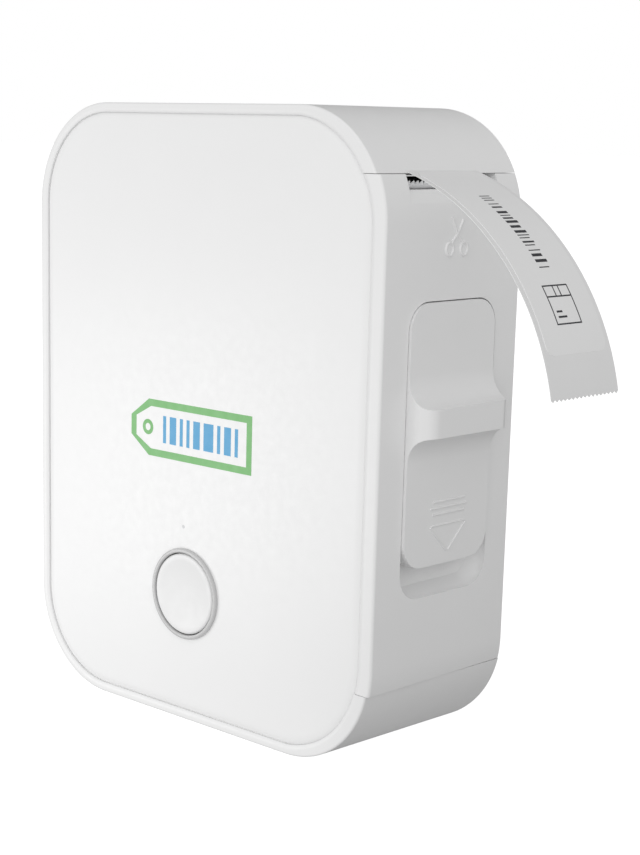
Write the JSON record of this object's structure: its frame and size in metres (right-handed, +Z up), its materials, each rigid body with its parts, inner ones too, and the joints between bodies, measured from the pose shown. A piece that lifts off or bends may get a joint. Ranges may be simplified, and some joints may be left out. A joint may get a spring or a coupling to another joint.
{
  "type": "thermal label printer",
  "caption": "Upright pocket thermal label printer with a slide latch on its side and a label strip curling out of a slot.",
  "frame": {"origin": "on the flat underside, below the middle of the case", "axes": "+X towards the side where the label comes out, +Y towards the rear, +Z up"},
  "size_m": [0.1009, 0.0317, 0.098],
  "materials": {
    "white_shell": "fine satin moulding",
    "front_white": "smooth satin moulding",
    "latch_white": "fine satin moulding",
    "button_grey": "satin",
    "ring_grey": "soft gloss",
    "inner_plastic": "fine texture",
    "black_plastic": "fine texture",
    "gear_plastic": "satin acetal",
    "light_plastic": "milky",
    "steel": "drawn and ground",
    "screw_steel": "black zinc",
    "motor_steel": "bright plated can",
    "aluminium": "bead blasted",
    "brass": "machined",
    "ceramic": "glazed thermal print head",
    "platen_black": "ground rubber",
    "board_green": "solder mask",
    "chip_black": "moulded epoxy",
    "cell_blue": "shrink sleeve",
    "wire_red": "insulation",
    "wire_mixed": "insulation",
    "flex_amber": "polyimide film",
    "core_card": "rolled card",
    "label_paper": "coated thermal paper",
    "liner_paper": "smooth backing paper"
  },
  "bodies": {
    "printer": {"main_housing": "white_shell", "front_panel": "front_white", "side_panel": "white_shell", "hinge_pins": "steel", "case_screws": "screw_steel", "latch_spring": "steel", "cutter_blade": "steel", "cutter_screws": "screw_steel", "button_ring": "ring_grey", "status_light_pipe": "light_plastic", "switch_body": "chip_black", "chassis_plate": "inner_plastic", "chassis_screws": "screw_steel", "main_board": "board_green", "board_components": "chip_black", "usb_port": "motor_steel", "head_connector": "gear_plastic", "battery_cell": "cell_blue", "battery_cradle": "inner_plastic", "battery_leads": "wire_red", "mechanism_frame": "steel", "head_springs": "steel", "head_pivot_pin": "steel", "head_flex": "flex_amber", "tape_guide": "black_plastic", "gap_sensor": "chip_black", "platen_bushes": "gear_plastic", "idler_pin": "steel", "motor_body": "motor_steel", "motor_screws": "screw_steel", "motor_leads": "wire_mixed", "roll_spindle": "inner_plastic", "label_web": "liner_paper", "label_liner": "liner_paper", "printed_label": "label_paper"},
    "cover": {"rear_cover": "white_shell"},
    "latch": {"slide_latch": "latch_white", "latch_bar": "inner_plastic", "latch_screws": "screw_steel"},
    "button": {"power_button": "button_grey"},
    "plunger": {"switch_plunger": "black_plastic"},
    "platen": {"platen_rubber": "platen_black", "platen_shaft": "steel", "platen_gear": "gear_plastic"},
    "idler": {"idler_gear": "gear_plastic"},
    "rotor": {"motor_shaft": "steel", "motor_pinion": "brass"},
    "roll": {"label_roll": "label_paper", "roll_core": "core_card"},
    "head": {"print_head": "ceramic", "head_heatsink": "aluminium"}
  },
  "joints": [
    {"name": "cover_hinge", "type": "hinge", "parent": "printer", "child": "cover", "pos_m": [-0.02975, 0.0147, 0.049], "axis": [0, 0, 1], "range_deg": [0, 95]},
    {"name": "latch_slide", "type": "slide", "parent": "printer", "child": "latch", "axis": [0, 0, -1], "range_m": [0, 0.004], "stiffness_N_per_m": 400, "springref_m": -0.002, "deforming": ["latch_spring"]},
    {"name": "button_press", "type": "slide", "parent": "printer", "child": "button", "axis": [0, 1, 0], "range_m": [0, 0.0005], "stiffness_N_per_m": 600, "springref_m": -0.0005},
    {"name": "plunger_press", "type": "slide", "parent": "printer", "child": "plunger", "axis": [0, 1, 0], "range_m": [0, 0.0005]},
    {"name": "head_lift", "type": "hinge", "parent": "printer", "child": "head", "pos_m": [0.022, -0.0015, 0.0913], "axis": [0, -1, 0], "range_deg": [0, 2], "stiffness_Nm_per_rad": 0.05, "springref_deg": -2.86, "deforming": ["head_springs"]},
    {"name": "roll_spin", "type": "hinge", "parent": "printer", "child": "roll", "pos_m": [0.002, -0.0015, 0.047], "axis": [0, 1, 0], "continuous": true},
    {"name": "platen_spin", "type": "hinge", "parent": "printer", "child": "platen", "pos_m": [0.0285, -0.0015, 0.0843], "axis": [0, 1, 0], "continuous": true},
    {"name": "idler_spin", "type": "hinge", "parent": "printer", "child": "idler", "pos_m": [0.01905, -0.0123, 0.08087], "axis": [0, 1, 0], "continuous": true},
    {"name": "rotor_spin", "type": "hinge", "parent": "printer", "child": "rotor", "pos_m": [0.015, -0.0123, 0.0745], "axis": [0, 1, 0], "continuous": true}
  ],
  "couplings": [
    {"joint": "platen_spin", "follows": "roll_spin", "ratio": 4.95},
    {"joint": "idler_spin", "follows": "roll_spin", "ratio": -4.95},
    {"joint": "rotor_spin", "follows": "roll_spin", "ratio": 9.9},
    {"joint": "plunger_press", "follows": "button_press", "ratio": 1}
  ]
}
